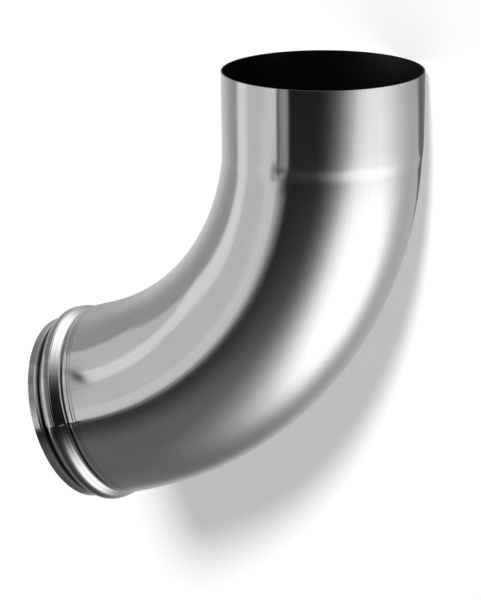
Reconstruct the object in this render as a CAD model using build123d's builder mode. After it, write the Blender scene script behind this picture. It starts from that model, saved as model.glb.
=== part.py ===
from build123d import *
from math import cos, radians, sin
import os

# Downspout shoe: one thin steel tube with a socket, a bend and a beaded outlet.
# The frame's origin is the centre of the socket mouth, +Z points up the downpipe,
# and the water leaves towards -X. Lengths are in millimetres, angles in degrees.

# Sheet, and the downpipe that the socket receives
wall = 0.6
body_radius = 50.0
pipe_diameter = 100.0
socket_clearance = 0.33

# Socket and its swaged step, measured down from the mouth
socket_depth = 40.0
swage_length = 7.0

# Bend, on the centre line of the tube
bend_start = 33.0
bend_radius = 156.7
bend_angle = 72.0

# Outlet: lengths run along its axis, one after the other from the end of the bend
outlet_straight = 12.4
neck_fall = 0.9
neck_floor = 1.0
bead_slope = 6.1
bead_crown = 2.9
bead_shoulder = 2.1
bead_fall = 1.6
rim_groove_floor = 2.2
rim_groove_rise = 0.9
rim_band = 5.3

# Outlet: how far the wall's outer face stands proud of the body, or lies below it
neck_depth = 1.0
slope_rise = 1.35
crown_rise = 1.7
shoulder_rise = 0.8
rim_groove_depth = 2.7
rim_depth = 2.2

# Outlet: rounding of the outer face over the crown of the bead
crown_roll = 5.0

# Two lines scored round the outlet, ahead of the neck
score_depth = 0.25
score_gaps = (2.6, 4.4)

# Worked out from the sizes above
socket_inner_radius = pipe_diameter / 2 + socket_clearance
socket_radius = socket_inner_radius + wall
swage_end = socket_depth + swage_length
bend_axis = Axis((-bend_radius, 0, -bend_start), (0, 1, 0))
turn = radians(bend_angle)
bend_end = Vector(
    -bend_radius + bend_radius * cos(turn), 0, -bend_start - bend_radius * sin(turn)
)
outlet_axis = Axis(bend_end, (-sin(turn), 0, -cos(turn)))
# In this plane x is the distance from the outlet axis, and y runs out along it.
outlet_section = Plane(bend_end, x_dir=(cos(turn), 0, -sin(turn)), z_dir=(0, 1, 0))


def tube_form(inset):
    """Solid of the socket, the swage and the bend, taken in by inset from the outer face."""
    with BuildPart() as form:
        with BuildSketch(Plane.XY):
            Circle(body_radius - inset)
        extrude(amount=-bend_start)
        with BuildSketch(Plane.XY.offset(-bend_start)):
            Circle(body_radius - inset)
        revolve(axis=bend_axis, revolution_arc=bend_angle)
        split(bisect_by=Plane.XY.offset(-swage_end), keep=Keep.BOTTOM)
        body_end = form.faces().sort_by(Axis.Z)[-1]
        with BuildSketch(Plane.XY.offset(-socket_depth)) as socket_end:
            Circle(socket_radius - inset)
        loft([socket_end.sketch.face(), body_end], ruled=True)
        extrude(socket_end.sketch, amount=socket_depth)
    return form.part


# Rolled outline of the outlet's outer face: its rise over the body where each stretch ends,
# and the length of the stretch
outlet_outline = [(body_radius, 0)]
for rise, length in (
    (0, outlet_straight),
    (-neck_depth, neck_fall),
    (-neck_depth, neck_floor),
    (slope_rise, bead_slope),
    (crown_rise, bead_crown),
    (shoulder_rise, bead_shoulder),
    (-rim_groove_depth, bead_fall),
    (-rim_groove_depth, rim_groove_floor),
    (-rim_depth, rim_groove_rise),
    (-rim_depth, rim_band),
):
    outlet_outline.append((body_radius + rise, outlet_outline[-1][1] + length))

outer_form = tube_form(0)
waterway = tube_form(wall)

with BuildPart() as downspout_shoe:
    add(outer_form)
    add(waterway, mode=Mode.SUBTRACT)
    with BuildSketch(outlet_section):
        with BuildLine():
            rolled = Polyline(*outlet_outline)
            fillet(rolled.vertices().sort_by(Axis.X)[-1], radius=crown_roll)
            offset(amount=-wall, side=Side.LEFT, kind=Kind.INTERSECTION)
        make_face()
        with Locations(*[(body_radius, outlet_straight - gap) for gap in score_gaps]):
            RegularPolygon(score_depth, side_count=4, mode=Mode.SUBTRACT)
    revolve(axis=outlet_axis)

downspout_shoe.part.label = "downspout_shoe"

os.makedirs("parts", exist_ok=True)
export_step(downspout_shoe.part, "parts/downspout_shoe.step")
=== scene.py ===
from math import cos, pi, radians, sin

import bpy
import numpy as np
from mathutils import Matrix, Vector


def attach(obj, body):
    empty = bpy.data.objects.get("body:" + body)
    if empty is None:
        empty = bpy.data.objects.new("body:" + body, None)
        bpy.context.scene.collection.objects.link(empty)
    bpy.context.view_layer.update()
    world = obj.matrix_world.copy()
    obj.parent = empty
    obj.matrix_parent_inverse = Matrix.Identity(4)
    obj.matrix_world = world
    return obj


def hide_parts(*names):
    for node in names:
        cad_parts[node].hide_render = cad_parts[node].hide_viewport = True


# A bent steel downspout shoe in front of a white wall.
# Lengths of the tube are in millimetres until its mesh is made, in metres.

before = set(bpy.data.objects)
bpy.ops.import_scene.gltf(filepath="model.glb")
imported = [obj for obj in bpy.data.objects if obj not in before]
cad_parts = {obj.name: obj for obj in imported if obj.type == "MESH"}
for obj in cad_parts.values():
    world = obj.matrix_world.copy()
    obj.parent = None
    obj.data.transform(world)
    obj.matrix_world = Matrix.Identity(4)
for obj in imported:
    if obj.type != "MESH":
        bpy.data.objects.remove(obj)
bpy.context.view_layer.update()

MM = 0.001

# Tube, as in the solid
WALL = 0.6
BODY_RADIUS = 50.0
SOCKET_RADIUS = 50.93
BEND_START = 33.0
BEND_RADIUS = 156.7
BEND_ANGLE = radians(72.0)
BEND_LENGTH = BEND_RADIUS * BEND_ANGLE

# How far the socket is drawn in towards its step, which is straight in the solid
SOCKET_TAPER = 0.42
# Depths where the socket's step starts and ends, and the same at the seam, where it is longer
STEP_START = 39.6
STEP_END = 47.4
SEAM_STEP_START = 36.0
SEAM_STEP_END = 58.0
SEAM_STEP_MIDDLE = radians(91.0)
SEAM_STEP_SPREAD = radians(8.0)

# Outlet's outer face: distance from the end of the bend, and radius
OUTLET_OUTLINE = (
    (0.0, 50.0),
    (10.8, 50.0),
    (12.4, 49.85),
    (13.2, 48.75),
    (14.6, 48.57),
    (15.8, 48.68),
    (19.3, 51.10),
    (20.7, 51.44),
    (22.9, 51.56),
    (24.4, 51.45),
    (25.4, 50.85),
    (27.0, 47.30),
    (28.2, 47.30),
    (30.4, 47.60),
    (31.0, 47.62),
    (31.7, 47.80),
    (35.4, 47.80),
)
OUTLET_LENGTH = OUTLET_OUTLINE[-1][0]
# Rounding of the outline's corners, which leaves the lip at its end crisp
OUTLINE_SOFTNESS = 0.28
LIP_LENGTH = 1.3
# Fine lines rolled into the outlet: distance, depth and half width
ROLLED_LINES = (
    (8.1, 0.07, 0.30),
    (9.8, 0.10, 0.32),
    (16.3, 0.030, 0.22),
    (17.6, 0.045, 0.24),
    (18.9, 0.030, 0.22),
    (20.2, 0.045, 0.26),
    (21.2, 0.060, 0.26),
    (22.5, 0.060, 0.26),
    (25.5, 0.060, 0.26),
    (28.7, 0.08, 0.34),
)
# Painted shade in the grooves and along the rolled lines round the outlet: distance, darkening and
# half width
PAINTED_SHADE_LINES = (
    (8.1, 0.34, 0.38),
    (9.8, 0.52, 0.40),
    (13.9, 0.36, 0.80),
    (16.2, 0.12, 0.18),
    (17.6, 0.24, 0.20),
    (18.9, 0.16, 0.18),
    (20.0, 0.20, 0.18),
    (21.1, 0.45, 0.50),
    (22.4, 0.55, 0.50),
    (30.7, 0.40, 0.45),
)
# Bands of painted shade that end on the outlet's upper side, leaving its top lit: distance,
# darkening, flatness and width of the band, then the angle where it ends and the angle over which
# it fades
PAINTED_SHADE_BANDS = (
    (13.85, 0.96, 2, 0.85, radians(146.0), radians(26.0)),
    (21.5, 0.60, 1, 1.20, radians(140.0), radians(15.0)),
    (25.5, 0.93, 2, 0.75, radians(176.0), radians(22.0)),
)
# Rim's painted shade and reflection, and the distance where the rim band starts
RIM_PAINTED_SHADE = 0.34
RIM_FROM = 31.5

# Weld seam: its angle, half width, and height in the socket and beyond it
SEAM_ANGLE = radians(90.0)
WELD_HALF = 0.55
WELD_IN_SOCKET = 0.012
WELD_BEYOND = 0.005
# Weld left standing where it crosses the outlet's rings: distance, height and half length
WELD_CROSSINGS = (
    (9.0, 0.34, 1.7),
    (13.4, 0.30, 1.0),
    (17.5, 0.16, 1.6),
    (22.0, 0.12, 1.2),
)
# Strip beside the weld: its middle and half width
STRIP_MIDDLE = -2.6
STRIP_HALF = 3.5
# Dent near the outlet: its place, and the direction that it is drawn out in
DENT_ANGLE = radians(115.5)
DENT_ALONG = 232.5
DENT_DIRECTION = (0.59, 0.81)

# Mesh density: columns round the tube, ring spacing of the skins, and the turn of the bend from
# which the rings stand square to it
AROUND = 240
OUTER_SPACING = 2.0
INNER_SPACING = 4.5
TILTED_FROM = radians(16.5)

# Reflectance of the bright steel outside, and a near-black grey inside that is painted shade for
# the tube's dark interior
STEEL_GREY = 0.66
INNER_SHADE_GREY = 0.09


def smooth(x):
    """Ease from 0 to 1."""
    x = np.clip(x, 0.0, 1.0)
    return x * x * (3 - 2 * x)


def bump(x, width):
    """Rounded hump of height 1 at x = 0."""
    return np.exp(-((x / width) ** 2))


def socket_rise(depth):
    """How far the socket stands over the body's radius; its step is softer at the seam."""
    full = SOCKET_RADIUS - BODY_RADIUS
    soft = bump(ROUND - SEAM_STEP_MIDDLE, SEAM_STEP_SPREAD)
    start = STEP_START + (SEAM_STEP_START - STEP_START) * soft
    end = STEP_END + (SEAM_STEP_END - STEP_END) * soft
    taper = SOCKET_TAPER * np.clip(depth / SEAM_STEP_START, 0, 1.3) ** 2
    return (full - taper) * (1 - smooth((depth - start) / (end - start)))


def outlet_radius(distance):
    """Outer radius of the outlet at a distance from the end of the bend."""
    step = 0.02
    fine = np.arange(-4.0, OUTLET_LENGTH + 4.0, step)
    stations, radii = zip(*OUTLET_OUTLINE)
    rough = np.interp(fine, stations, radii)
    reach = np.arange(-1.2, 1.2001, step)
    weights = bump(reach, OUTLINE_SOFTNESS * 2**0.5)
    soft = np.convolve(rough, weights / weights.sum(), mode="same")
    lip = fine > OUTLET_LENGTH - LIP_LENGTH
    soft[lip] = rough[lip]
    for place, depth, half_width in ROLLED_LINES:
        soft -= depth * bump(fine - place, half_width)
    return np.interp(distance, fine, soft)


def angles():
    """Angles round the tube, closer together at the seam."""
    even = np.linspace(0, 2 * pi, AROUND, endpoint=False)
    beside = radians(1.0) * np.array((0.15, 0.3, 0.5, 0.75, 1.0, 1.3, 1.7, 2.2))
    near = SEAM_ANGLE + np.concatenate((-beside, [0.0], beside))
    keep = np.abs(even - SEAM_ANGLE) > radians(2.4)
    return np.sort(np.concatenate((even[keep], near)))


ROUND = angles()


def bend_point(turn, angle, radius):
    """Point of the tube at an angle of the bend and an angle round it."""
    reach = BEND_RADIUS + radius * np.cos(angle)
    return np.stack(
        (
            -BEND_RADIUS + reach * np.cos(turn),
            -radius * np.sin(angle),
            -BEND_START - reach * np.sin(turn),
        ),
        -1,
    )


def level_ring(depth, radius):
    """Ring where a level plane cuts the tube, and the bend's angle there."""
    reach = BEND_RADIUS + radius * np.cos(ROUND)
    turn = np.arcsin(max(depth - BEND_START, 0.0) / reach)
    ring = bend_point(turn, ROUND, radius)
    ring[:, 2] = -depth
    return ring, turn


# Outlet's start, the way it runs, and the two directions across it
OUTLET_START = np.array(
    (
        -BEND_RADIUS + BEND_RADIUS * cos(BEND_ANGLE),
        0,
        -BEND_START - BEND_RADIUS * sin(BEND_ANGLE),
    )
)
OUTLET_WAY = np.array((-sin(BEND_ANGLE), 0, -cos(BEND_ANGLE)))
OUTLET_DOWN = np.array((cos(BEND_ANGLE), 0, -sin(BEND_ANGLE)))
OUTLET_SIDE = np.array((0.0, -1.0, 0.0))


def outlet_ring(station, inset):
    """Ring of the outlet; an inset is measured square to the outline's slope."""
    here = outlet_radius(station) - inset
    if inset:
        slope = (outlet_radius(station + 0.2) - outlet_radius(station - 0.2)) / 0.4
        here += inset - inset * (1 + min(slope * slope, 4.0)) ** 0.5
    spokes = np.cos(ROUND)[:, None] * OUTLET_DOWN + np.sin(ROUND)[:, None] * OUTLET_SIDE
    return OUTLET_START + station * OUTLET_WAY + here * spokes


def skin(inset, spacing):
    """Rings of points from the socket's mouth to the outlet's rim, and their lengths along."""
    radius = BODY_RADIUS - inset
    rings = []
    along = []
    fine = spacing < 3
    socket = np.linspace(1.4, SEAM_STEP_START, int(SEAM_STEP_START / spacing))
    socket_step = np.linspace(SEAM_STEP_START, SEAM_STEP_END, 41 if fine else 9)[1:]
    for depth in np.concatenate(([0, 0.2, 0.6], socket, socket_step)):
        ring, cut_turn = level_ring(depth, radius + socket_rise(depth))
        rings.append(ring)
        along.append(np.full_like(ROUND, depth))
    for share in np.linspace(0, 1, max(5, int(18 / spacing)))[1:]:
        turn = cut_turn + share * (TILTED_FROM - cut_turn)
        rings.append(bend_point(turn, ROUND, radius))
        along.append(BEND_START + turn * BEND_RADIUS)
    steps = int((BEND_ANGLE - TILTED_FROM) * BEND_RADIUS / spacing)
    for turn in np.linspace(TILTED_FROM, BEND_ANGLE, steps + 1)[1:]:
        rings.append(bend_point(turn, ROUND, radius))
        along.append(np.full_like(ROUND, BEND_START + turn * BEND_RADIUS))
    stations = np.concatenate(
        (
            np.arange(1.0, 6.6, 1.0 if fine else 2.0),
            np.arange(6.8, OUTLET_LENGTH - 0.3, 0.22 if fine else 0.7),
            [OUTLET_LENGTH],
        )
    )
    for station in stations:
        rings.append(outlet_ring(station, inset))
        along.append(np.full_like(ROUND, BEND_START + BEND_LENGTH + station))
    return np.array(rings), np.array(along)


def outward(rings):
    """Unit normals of a skin, from the differences between neighbouring points."""
    ahead = np.gradient(rings, axis=0)
    around = np.roll(rings, -1, axis=1) - np.roll(rings, 1, axis=1)
    normal = np.cross(around, ahead)
    normal /= np.linalg.norm(normal, axis=-1, keepdims=True)
    return normal


def dent_place(along, angle):
    """Distances from the dent near the outlet, along it and across it."""
    du = (angle - DENT_ANGLE) * BODY_RADIUS
    ds = along - DENT_ALONG
    u_share, s_share = DENT_DIRECTION
    return u_share * du + s_share * ds, -s_share * du + u_share * ds


def relief(along):
    """Height of the weld, the dents and the sheet's slight waves over the plain tube."""
    angle = np.broadcast_to(ROUND, along.shape)
    around = (angle - SEAM_ANGLE) * BODY_RADIUS
    height = np.zeros_like(along)
    in_socket = along < SEAM_STEP_START
    beyond = along - (BEND_START + BEND_LENGTH)
    # Weld: a low bead, ground almost flat in the socket and the bend
    height += np.where(in_socket, WELD_IN_SOCKET, WELD_BEYOND) * bump(around, WELD_HALF)
    # Strip beside the weld, pressed flat in the socket and less so down the bend
    strip = np.clip(1 - ((around - STRIP_MIDDLE) / STRIP_HALF) ** 2, 0, 1)
    strip *= STRIP_HALF**2 / (2 * SOCKET_RADIUS)
    height -= strip * (0.80 * smooth((48 - along) / 12) + 0.40 * smooth((120 - along) / 70))
    for place, tall, length in WELD_CROSSINGS:
        height += tall * bump(around, WELD_HALF) * bump(beyond - place, length)
    # Pucker where the weld meets the step
    height -= 0.045 * bump(around + 1.6, 2.6) * bump(along - 42.6, 2.2)
    height += 0.035 * bump(around - 6.0, 3.0) * bump(along - 44.5, 2.8)
    # Dent near the outlet, drawn out slantwise
    lengthwise, crosswise = dent_place(along, angle)
    height -= 0.10 * bump(lengthwise, 8.0) * bump(crosswise, 3.6)
    return height


def painted_shade_amount(along, outer_rings):
    """How far painted shade and painted reflection darken the steel, from 0 to 1."""
    beyond = along - (BEND_START + BEND_LENGTH)
    shine = np.ones_like(along)
    for place, darkening, half_width in PAINTED_SHADE_LINES:
        shine *= 1 - darkening * bump(beyond - place, half_width)
    angle = np.broadcast_to(ROUND, along.shape)
    # Groove of the rim, painted black as shade
    shine *= 1 - 0.97 * bump((beyond - 29.1) ** 2, 1.9)
    # Neck, crown of the bead and its far side, painted dark as shade except on top
    for place, darkening, flatness, width, end, fade in PAINTED_SHADE_BANDS:
        band = bump((beyond - place) ** flatness, width)
        shine *= 1 - darkening * band * smooth((end - angle) / fade)
    # Rim, darkened with painted reflection, more so in one place and less so in another
    rim_shade = RIM_PAINTED_SHADE + 0.34 * bump(angle - radians(117.0), radians(15.0))
    rim_shade -= 0.26 * bump(angle - radians(97.0), radians(5.5))
    on_rim = smooth((beyond - RIM_FROM) / 0.5) * smooth((OUTLET_LENGTH - 0.2 - beyond) / 0.3)
    shine *= 1 - rim_shade * on_rim
    # Painted shade in the dent, and painted darker reflection round it
    lengthwise, crosswise = dent_place(along, angle)
    shine *= 1 - 0.80 * bump(lengthwise, 7.0) * bump(crosswise, 2.6)
    shine *= 1 - 0.30 * bump((angle - radians(113.0)) * BODY_RADIUS, 7.0) * bump(beyond - 7.5, 8.0)
    shine[outer_rings:] = 1.0
    return 1 - shine


def tube_faces(count, around):
    """Quads from ring to ring, and from the last ring back to the first."""
    faces = []
    for row in range(count):
        following = (row + 1) % count
        for column in range(around):
            beside = (column + 1) % around
            faces.append(
                (
                    row * around + column,
                    row * around + beside,
                    following * around + beside,
                    following * around + column,
                )
            )
    return faces


def tube_mesh():
    """The tube's mesh: outer skin, inner skin and the two cut edges."""
    outer, outer_along = skin(0.0, OUTER_SPACING)
    outer = outer + outward(outer) * relief(outer_along)[..., None]
    inner, inner_along = skin(WALL, INNER_SPACING)
    rings = np.concatenate((outer, inner[::-1]))
    along = np.concatenate((outer_along, inner_along[::-1]))
    count, around = rings.shape[:2]
    points = rings.reshape(-1, 3) * MM
    mesh = bpy.data.meshes.new("shoe")
    mesh.from_pydata(points.tolist(), [], tube_faces(count, around))
    mesh.validate()
    inside_from = len(outer) * around
    uv_layer = mesh.uv_layers.new(name="tube")
    for polygon in mesh.polygons:
        closes_the_ring = polygon.index % around == around - 1
        for loop in polygon.loop_indices:
            vertex = mesh.loops[loop].vertex_index
            column = vertex % around
            angle = ROUND[column]
            if closes_the_ring and column == 0:
                angle += 2 * pi
            uv_layer.data[loop].uv = (angle * BODY_RADIUS * MM, along.reshape(-1)[vertex] * MM)
        polygon.material_index = 1 if polygon.index >= inside_from else 0
        polygon.use_smooth = True
    # The sheet's cut edges stay crisp.
    last = len(outer) - 1
    for edge in mesh.edges:
        first, second = (vertex // around for vertex in edge.vertices)
        edge.use_edge_sharp = first == second and first in (0, last, last + 1, count - 1)
    # Painted shade and reflection, darkening the steel's colour, kept on the points
    painted_shade = mesh.attributes.new("painted_shade", "FLOAT", "POINT")
    painted_shade.data.foreach_set("value", painted_shade_amount(along, len(outer)).reshape(-1))
    return mesh


def math_node(tree, operation, *inputs):
    """Math node whose inputs are numbers or sockets; returns its output."""
    node = tree.nodes.new("ShaderNodeMath")
    node.operation = operation
    for slot, value in enumerate(inputs):
        if isinstance(value, (int, float)):
            node.inputs[slot].default_value = value
        else:
            tree.links.new(value, node.inputs[slot])
    return node.outputs[0]


def ease(tree, value, start, end, low=0.0, high=1.0):
    """Smooth change from low to high while value goes from start to end."""
    node = tree.nodes.new("ShaderNodeMapRange")
    node.interpolation_type = "SMOOTHSTEP"
    tree.links.new(value, node.inputs["Value"])
    node.inputs["From Min"].default_value = start
    node.inputs["From Max"].default_value = end
    node.inputs["To Min"].default_value = low
    node.inputs["To Max"].default_value = high
    return node.outputs["Result"]


def new_material(name):
    """New material, its node tree and its shader."""
    material = bpy.data.materials.new(name)
    material.use_nodes = True
    return material, material.node_tree, material.node_tree.nodes["Principled BSDF"]


def stretched(tree, uv, across, lengthwise):
    """Coordinates along the tube, stretched so that noise makes streaks."""
    mapping = tree.nodes.new("ShaderNodeMapping")
    mapping.inputs["Scale"].default_value = (across, lengthwise, 1.0)
    tree.links.new(uv, mapping.inputs["Vector"])
    return mapping.outputs["Vector"]


def noise(tree, vector, detail, roughness):
    """Noise from 0 to 1, one cell for each unit of its coordinates."""
    node = tree.nodes.new("ShaderNodeTexNoise")
    node.inputs["Scale"].default_value = 1.0
    node.inputs["Detail"].default_value = detail
    node.inputs["Roughness"].default_value = roughness
    tree.links.new(vector, node.inputs["Vector"])
    return node.outputs["Fac"]


# Steel's noise: cells in a metre round the tube and along it
STREAK_CELLS = (9000.0, 160.0)
BAND_CELLS = (700.0, 9.0)
CLOUD_CELLS = (45.0, 40.0)
# Height of the streaks, in metres
STREAK_HEIGHT = 0.00002


def steel(name, grey, rough, spread, streak_depth):
    """Drawn steel: fine streaks and wider bands along the tube, and faint clouds."""
    material, tree, shader = new_material(name)
    shader.inputs["Metallic"].default_value = 1.0
    uv_node = tree.nodes.new("ShaderNodeUVMap")
    uv_node.uv_map = "tube"
    uv = uv_node.outputs["UV"]
    streaks = noise(tree, stretched(tree, uv, *STREAK_CELLS), 3.0, 0.6)
    bands = noise(tree, stretched(tree, uv, *BAND_CELLS), 3.0, 0.55)
    clouds = noise(tree, stretched(tree, uv, *CLOUD_CELLS), 4.0, 0.55)
    mixed = math_node(
        tree,
        "ADD",
        math_node(tree, "MULTIPLY", bands, 0.45),
        math_node(tree, "MULTIPLY", clouds, 0.55),
    )
    tree.links.new(
        ease(tree, mixed, 0.3, 0.7, rough - spread, rough + spread), shader.inputs["Roughness"]
    )
    tint = ease(tree, mixed, 0.32, 0.68, grey * 0.96, grey * 1.03)
    # The points' painted shade darkens the colour
    painted_shade = tree.nodes.new("ShaderNodeAttribute")
    painted_shade.attribute_name = "painted_shade"
    unshaded = math_node(tree, "SUBTRACT", 1.0, painted_shade.outputs["Fac"])
    tint = math_node(tree, "MULTIPLY", tint, unshaded)
    colour = tree.nodes.new("ShaderNodeCombineColor")
    for channel in ("Red", "Green", "Blue"):
        tree.links.new(tint, colour.inputs[channel])
    tree.links.new(colour.outputs["Color"], shader.inputs["Base Color"])
    grain = tree.nodes.new("ShaderNodeBump")
    grain.inputs["Strength"].default_value = streak_depth
    grain.inputs["Distance"].default_value = STREAK_HEIGHT
    tree.links.new(streaks, grain.inputs["Height"])
    tree.links.new(grain.outputs["Normal"], shader.inputs["Normal"])
    return material


mesh = tube_mesh()
shoe = bpy.data.objects.new("shoe_tube", mesh)
bpy.context.scene.collection.objects.link(shoe)
mesh.materials.append(
    steel("bright_steel", STEEL_GREY, rough=0.105, spread=0.03, streak_depth=0.10)
)
# Inside: near-black grey, painted shade for the tube's dark interior
mesh.materials.append(steel("inner_steel_painted_shade", INNER_SHADE_GREY, rough=0.42, spread=0.05, streak_depth=0.2))
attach(shoe, "root")
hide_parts("downspout_shoe")

# Camera, at the photograph's angle; lengths in metres
AZIMUTH = radians(27.15)
ELEVATION = radians(14.94)
ROLL = radians(0.26)
DISTANCE = 1.9409
SHIFT_RIGHT = 0.04157
SHIFT_UP = 0.11431
FOCAL_PIXELS = 3897.65
FRAME_HEIGHT = 600
SENSOR = 36.0

right = Vector((cos(AZIMUTH), sin(AZIMUTH), 0))
forward = Vector(
    (-sin(AZIMUTH) * cos(ELEVATION), cos(AZIMUTH) * cos(ELEVATION), -sin(ELEVATION))
)
up = right.cross(forward)
camera_data = bpy.data.cameras.new("camera")
camera_data.sensor_fit = "AUTO"
camera_data.sensor_width = SENSOR
camera_data.lens = FOCAL_PIXELS * SENSOR / FRAME_HEIGHT
camera_data.clip_start = 0.05
camera_data.clip_end = 50.0
camera = bpy.data.objects.new("camera", camera_data)
bpy.context.scene.collection.objects.link(camera)
side = cos(ROLL) * right - sin(ROLL) * up
top = sin(ROLL) * right + cos(ROLL) * up
eye = -(SHIFT_RIGHT * right + SHIFT_UP * up + DISTANCE * forward)
camera.matrix_world = Matrix.Translation(eye) @ Matrix(
    (
        (side.x, top.x, -forward.x),
        (side.y, top.y, -forward.y),
        (side.z, top.z, -forward.z),
    )
).to_4x4()
bpy.context.scene.camera = camera


def plain_sheet(name, corners):
    """Flat stage sheet from its corners."""
    data = bpy.data.meshes.new(name)
    data.from_pydata(corners, [], [tuple(range(len(corners)))])
    sheet = bpy.data.objects.new(name, data)
    bpy.context.scene.collection.objects.link(sheet)
    sheet.visible_glossy = False
    return sheet


# Wall: its distance from the origin, the direction from the origin to it, and half its width,
# which is also the height of its top. It stands on the floor.
WALL_BEHIND = 0.0499
WALL_NORMAL = Vector((0.4990, 0.8200, 0.2145)).normalized()
WALL_HALF = 0.9
FLOOR_HEIGHT = -0.5
FLOOR_HALF = 4.0
# Paint of both, and how much brighter than that the camera sees it
PALE = (0.97, 0.97, 0.97, 1.0)
LIFT = 0.27


def wall_point(height):
    """Middle of the wall at a height; the wall leans forward a little."""
    level = Vector((WALL_NORMAL.x, WALL_NORMAL.y, 0))
    reach = (WALL_BEHIND - height * WALL_NORMAL.z) / level.length_squared
    return reach * level + Vector((0, 0, height))


wall_run = WALL_HALF * WALL_NORMAL.cross(Vector((0, 0, 1))).normalized()
wall = plain_sheet(
    "wall",
    [
        wall_point(FLOOR_HEIGHT) - wall_run,
        wall_point(FLOOR_HEIGHT) + wall_run,
        wall_point(WALL_HALF) + wall_run,
        wall_point(WALL_HALF) - wall_run,
    ],
)
floor = plain_sheet(
    "floor",
    [
        (-FLOOR_HALF, -FLOOR_HALF, FLOOR_HEIGHT),
        (FLOOR_HALF, -FLOOR_HALF, FLOOR_HEIGHT),
        (FLOOR_HALF, FLOOR_HALF, FLOOR_HEIGHT),
        (-FLOOR_HALF, FLOOR_HALF, FLOOR_HEIGHT),
    ],
)


def pale_paint(name):
    """Paint that the camera sees a little brighter, so that it's plain white in the light."""
    material, tree, shader = new_material(name)
    shader.inputs["Base Color"].default_value = PALE
    shader.inputs["Roughness"].default_value = 0.9
    shader.inputs["Specular IOR Level"].default_value = 0.0
    shader.inputs["Emission Color"].default_value = (1, 1, 1, 1)
    seen = tree.nodes.new("ShaderNodeLightPath").outputs["Is Camera Ray"]
    tree.links.new(math_node(tree, "MULTIPLY", seen, LIFT), shader.inputs["Emission Strength"])
    return material, tree, shader


floor.data.materials.append(pale_paint("pale_floor")[0])
floor.visible_diffuse = False

# The wall is painted on its front only, so it doesn't hide the object from behind.
wall_material, wall_tree, wall_shader = pale_paint("pale_wall")
see_through = wall_tree.nodes.new("ShaderNodeBsdfTransparent")
choice = wall_tree.nodes.new("ShaderNodeMixShader")
facing = wall_tree.nodes.new("ShaderNodeNewGeometry")
wall_tree.links.new(facing.outputs["Backfacing"], choice.inputs[0])
wall_tree.links.new(wall_shader.outputs[0], choice.inputs[1])
wall_tree.links.new(see_through.outputs[0], choice.inputs[2])
wall_tree.links.new(choice.outputs[0], wall_tree.nodes["Material Output"].inputs["Surface"])
wall.data.materials.append(wall_material)

# Key lamp: a soft light from above and in front, which throws the shadow on the wall
KEY_ENERGY = 3.3
KEY_WIDTH = radians(6.5)
KEY_TRAVEL = Vector((-0.3289, 1.0, -0.4612)).normalized()

key_data = bpy.data.lights.new("key", "SUN")
key_data.energy = KEY_ENERGY
key_data.angle = KEY_WIDTH
key = bpy.data.objects.new("key", key_data)
bpy.context.scene.collection.objects.link(key)
key.visible_glossy = False
key.rotation_mode = "QUATERNION"
key.rotation_quaternion = KEY_TRAVEL.to_track_quat("-Z", "Y")

# World: a white surround, and for reflections a studio with soft boxes and white cards.
# The studio is laid out by the tilt of a mirror that would show each place to the photographer.
AMBIENT = 0.25

world = bpy.data.worlds.new("studio")
bpy.context.scene.world = world
world.use_nodes = True
world.cycles.sampling_method = "NONE"
tree = world.node_tree
background = tree.nodes["Background"]
coordinates = tree.nodes.new("ShaderNodeTexCoord")


def along_axis(axis):
    """How far the ray's direction points along an axis."""
    node = tree.nodes.new("ShaderNodeVectorMath")
    node.operation = "DOT_PRODUCT"
    tree.links.new(coordinates.outputs["Generated"], node.inputs[0])
    node.inputs[1].default_value = axis
    return node.outputs["Value"]


direction_right = along_axis(tuple(side))
direction_up = along_axis(tuple(top))
direction_near = along_axis(tuple(-forward))
twice_near = math_node(tree, "MULTIPLY", math_node(tree, "ADD", direction_near, 1.0), 2.0)
spread = math_node(tree, "SQRT", math_node(tree, "MAXIMUM", twice_near, 0.0004))
tilt_x = math_node(tree, "DIVIDE", direction_right, spread)
tilt_y = math_node(tree, "DIVIDE", direction_up, spread)


def length_of(x, y):
    """Length of the vector with these two parts."""
    squares = [math_node(tree, "MULTIPLY", part, part) for part in (x, y)]
    return math_node(tree, "SQRT", math_node(tree, "ADD", *squares))


tilt = length_of(tilt_x, tilt_y)


def layer(below, mask, tone):
    """Puts a tone over what is below, where mask is 1."""
    node = tree.nodes.new("ShaderNodeMix")
    node.data_type = "FLOAT"
    tree.links.new(mask, node.inputs["Factor"])
    for name, value in (("A", below), ("B", tone)):
        if isinstance(value, (int, float)):
            node.inputs[name].default_value = value
        else:
            tree.links.new(value, node.inputs[name])
    return node.outputs["Result"]


def both(*masks):
    """1 only where all the masks are 1."""
    result = masks[0]
    for mask in masks[1:]:
        result = math_node(tree, "MULTIPLY", result, mask)
    return result


def slant(x_share, y_share, offset=0.0):
    """Weighted sum of the two tilts, for edges that run slantwise."""
    x_part = math_node(tree, "MULTIPLY", tilt_x, x_share)
    y_part = math_node(tree, "MULTIPLY", tilt_y, y_share)
    return math_node(tree, "ADD", math_node(tree, "ADD", x_part, y_part), offset)


# The tones are display greys from 0 to 255, as the steel shows them.
# Dark room round the camera, lighter towards the floor
low = layer(20.9, ease(tree, tilt_y, -0.143, -0.541), 91.5)
low = math_node(tree, "ADD", low, ease(tree, tilt, 0.80, 0.98, 0.0, 13.6))
# Grey on the right
low = layer(low, both(ease(tree, tilt_x, 0.065, 0.869), ease(tree, tilt, 0.37, 0.40)), 160.3)
# Large soft box low on the right, with a sharper edge on its far side
BOX_TURN = -0.802
BOX_MIDDLE = (0.406, -0.431)
BOX_HALF = (0.222, 0.342)


def across_box(x_share, y_share, half):
    """Distance from the soft box's middle along one of its axes; 1 is half its size."""
    offset = -x_share * BOX_MIDDLE[0] - y_share * BOX_MIDDLE[1]
    return math_node(tree, "DIVIDE", slant(x_share, y_share, offset), half)


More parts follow.
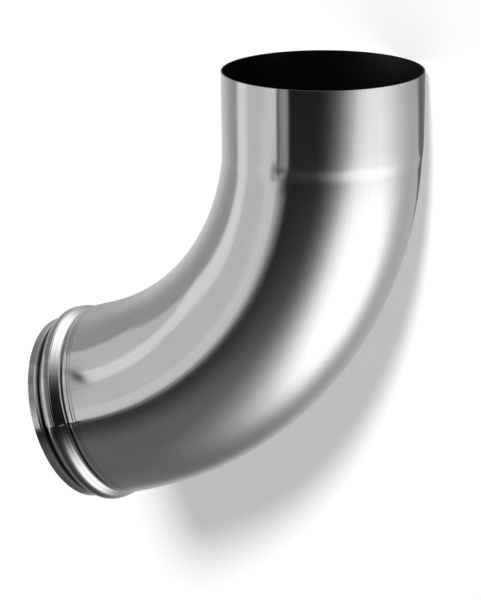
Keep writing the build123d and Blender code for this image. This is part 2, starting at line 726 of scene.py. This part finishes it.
box_x = across_box(cos(BOX_TURN), sin(BOX_TURN), BOX_HALF[0])
box_y = across_box(-sin(BOX_TURN), cos(BOX_TURN), BOX_HALF[1])
box = length_of(box_x, box_y)
low = layer(low, ease(tree, box, 0.0, 1.449, 1.0, 0.0), 149.9)
bearing = math_node(tree, "DIVIDE", box_x, math_node(tree, "MAXIMUM", box, 0.001))
far_side = ease(tree, bearing, -1.0, 1.0)
inner_edge = layer(0.095, far_side, 0.78)
outer_edge = layer(2.209, far_side, 1.542)
fall = math_node(
    tree,
    "DIVIDE",
    math_node(tree, "SUBTRACT", outer_edge, box),
    math_node(tree, "SUBTRACT", outer_edge, inner_edge),
)
low = layer(low, ease(tree, fall, 0.0, 1.0), 258.6)
low = layer(low, ease(tree, tilt, 0.934, 1.0), 157.0)
# Above the soft box: a dark gap, then a broad soft box overhead
high = layer(
    28.0, both(ease(tree, tilt_y, 0.10, 0.66), ease(tree, tilt_x, 0.22, 0.40, 1.0, 0.0)), 262.0
)
high = layer(high, ease(tree, tilt_y, 0.79, 0.94), 170.0)
high = layer(
    high,
    both(ease(tree, tilt, 0.72, 0.92), ease(tree, tilt_x, 0.1, 0.5)),
    ease(tree, tilt_y, -0.10, 0.24, 84.0, 112.0),
)
past_right = math_node(tree, "MAXIMUM", math_node(tree, "SUBTRACT", tilt_x, 0.93), 0.0)
horizon = math_node(tree, "ADD", tilt_y, math_node(tree, "MULTIPLY", past_right, 1.6))
studio = layer(high, ease(tree, horizon, 0.01, -0.055), low)
# White cards on the left
foot = math_node(
    tree,
    "SUBTRACT",
    slant(0.3, 1.0, 0.141),
    math_node(tree, "MINIMUM", math_node(tree, "ADD", tilt_x, 0.50), 0.0),
)
cards = layer(138.0, ease(tree, tilt_y, 0.60, 0.88), 165.0)
middle_card = both(
    ease(tree, slant(1.0, -0.18), -0.845, -0.815),
    ease(tree, slant(1.0, -0.55), -0.930, -0.895),
    ease(tree, tilt_y, 0.465, 0.435),
)
cards = layer(cards, middle_card, 176.0)
bright_card = both(
    ease(tree, slant(1.0, -0.10), -0.845, -0.805), ease(tree, slant(-0.12, 1.0), 0.305, 0.285)
)
cards = layer(cards, bright_card, 205.0)
# Below the bright card, and past its end, where it gives way to a duller one
dull_card = layer(190.0, ease(tree, foot, -0.16, -0.12), 178.0)
for edge in (
    both(
        ease(tree, slant(-1.0, 1.0), 0.73, 0.66),
        ease(tree, tilt_x, -0.78, -0.73),
        ease(tree, tilt_x, -0.62, -0.68),
    ),
    both(ease(tree, slant(0.65, 1.0), -0.306, -0.326), ease(tree, tilt_x, -0.69, -0.665)),
    both(ease(tree, tilt_y, 0.106, 0.088), ease(tree, tilt_x, -0.73, -0.70)),
    ease(tree, tilt_x, -0.552, -0.540),
):
    cards = layer(cards, both(bright_card, edge), dull_card)
ring = layer(180.0, ease(tree, tilt_y, 0.62, 0.90), 152.0)
cards = layer(cards, ease(tree, tilt, 0.88, 1.0), ring)
left = ease(tree, slant(1.0, -0.10), -0.435, -0.315, 1.0, 0.0)
studio = layer(studio, both(left, ease(tree, foot, -0.285, -0.225)), cards)

# The tones as light, divided by the steel's grey so that the steel shows them as written
SRGB_OFFSET = 0.055
SRGB_SPAN = 1.055
SRGB_POWER = 2.4
display = math_node(
    tree, "MULTIPLY_ADD", studio, 1 / (255 * SRGB_SPAN), SRGB_OFFSET / SRGB_SPAN
)
shine = math_node(tree, "DIVIDE", math_node(tree, "POWER", display, SRGB_POWER), STEEL_GREY)

rays = tree.nodes.new("ShaderNodeLightPath")
lit = layer(AMBIENT, rays.outputs["Is Glossy Ray"], shine)
lit = layer(lit, rays.outputs["Is Camera Ray"], 1.0)
tree.links.new(lit, background.inputs["Strength"])
background.inputs["Color"].default_value = (1, 1, 1, 1)

bpy.context.scene.view_settings.view_transform = "Standard"
